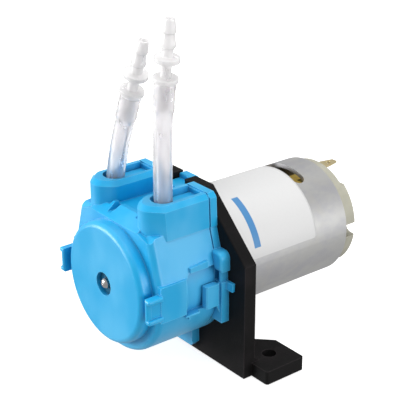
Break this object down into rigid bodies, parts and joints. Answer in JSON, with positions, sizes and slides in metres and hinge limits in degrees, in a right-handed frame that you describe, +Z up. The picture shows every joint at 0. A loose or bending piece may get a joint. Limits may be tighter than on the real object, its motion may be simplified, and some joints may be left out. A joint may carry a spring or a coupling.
{
  "type": "peristaltic pump",
  "caption": "Peristaltic hose pump: clip-fastened raceway cover over a roller carrier, foot bracket, brushed motor and two barbed hose ends.",
  "frame": {"origin": "on the base plane, midway between the two foot holes", "axes": "+X to the right seen from the pump head, +Y back along the shaft to the motor, +Z up"},
  "size_m": [0.055, 0.0679, 0.0793],
  "materials": {
    "black_plastic": "moulded, fine texture",
    "blue_plastic": "satin moulded plastic",
    "can_steel": "satin plated steel",
    "bronze": "sintered bronze",
    "bush_plastic": "self-lubricating plastic",
    "magnet": "ferrite",
    "ivory_plastic": "glass-filled plastic",
    "brass": "bright brass",
    "carbon": "pressed carbon",
    "label": "satin white film",
    "steel": "ground steel",
    "tube": "clear soft tube",
    "fitting_plastic": "natural translucent plastic",
    "laminations": "stacked sheet steel",
    "copper": "enamelled copper",
    "carrier_plastic": "moulded acetal",
    "washer_plastic": "low-friction plastic",
    "roller_plastic": "turned acetal"
  },
  "bodies": {
    "base": {"mounting_bracket": "black_plastic", "rear_housing": "blue_plastic", "motor_can": "can_steel", "motor_front_bush": "bronze", "magnet_right": "magnet", "magnet_left": "magnet", "end_bell": "ivory_plastic", "end_bell_bush": "bronze", "terminal_upper": "brass", "terminal_lower": "brass", "brush_arm_upper": "brass", "brush_arm_lower": "brass", "brush_upper": "carbon", "brush_lower": "carbon", "motor_label": "label", "motor_screws": "steel", "pump_tube": "tube", "hose_end_right": "tube", "hose_end_left": "tube", "fitting_right": "fitting_plastic", "fitting_left": "fitting_plastic"},
    "front_cover": {"front_housing": "blue_plastic", "shaft_bush": "bush_plastic"},
    "motor_rotor": {"motor_shaft": "steel", "drive_sleeve": "steel", "armature_core": "laminations", "armature_windings": "copper", "commutator": "copper"},
    "roller_carrier": {"rotor_front_plate": "carrier_plastic", "rotor_rear_plate": "carrier_plastic", "rotor_washer": "washer_plastic", "roller_pin_1": "steel", "roller_pin_2": "steel", "roller_pin_3": "steel"},
    "roller_body_1": {"roller_1": "roller_plastic"},
    "roller_body_2": {"roller_2": "roller_plastic"},
    "roller_body_3": {"roller_3": "roller_plastic"}
  },
  "joints": [
    {"name": "motor_spin", "type": "hinge", "parent": "base", "child": "motor_rotor", "pos_m": [0, 0.0118, 0.0206], "axis": [0, 1, 0], "continuous": true},
    {"name": "carrier_spin", "type": "hinge", "parent": "base", "child": "roller_carrier", "pos_m": [0, -0.0186, 0.0206], "axis": [0, 1, 0], "continuous": true},
    {"name": "roller_1_spin", "type": "hinge", "parent": "roller_carrier", "child": "roller_body_1", "pos_m": [0, -0.0186, 0.02769], "axis": [0, 1, 0], "continuous": true},
    {"name": "roller_2_spin", "type": "hinge", "parent": "roller_carrier", "child": "roller_body_2", "pos_m": [-0.00614, -0.0186, 0.01706], "axis": [0, 1, 0], "continuous": true},
    {"name": "roller_3_spin", "type": "hinge", "parent": "roller_carrier", "child": "roller_body_3", "pos_m": [0.00614, -0.0186, 0.01706], "axis": [0, 1, 0], "continuous": true},
    {"name": "cover_slide", "type": "slide", "parent": "base", "child": "front_cover", "axis": [0, -1, 0], "range_m": [0, 0.024]}
  ],
  "couplings": [
    {"joint": "carrier_spin", "follows": "motor_spin", "ratio": 0.14104},
    {"joint": "roller_1_spin", "follows": "motor_spin", "ratio": -0.33751},
    {"joint": "roller_2_spin", "follows": "motor_spin", "ratio": -0.33751},
    {"joint": "roller_3_spin", "follows": "motor_spin", "ratio": -0.33751}
  ]
}
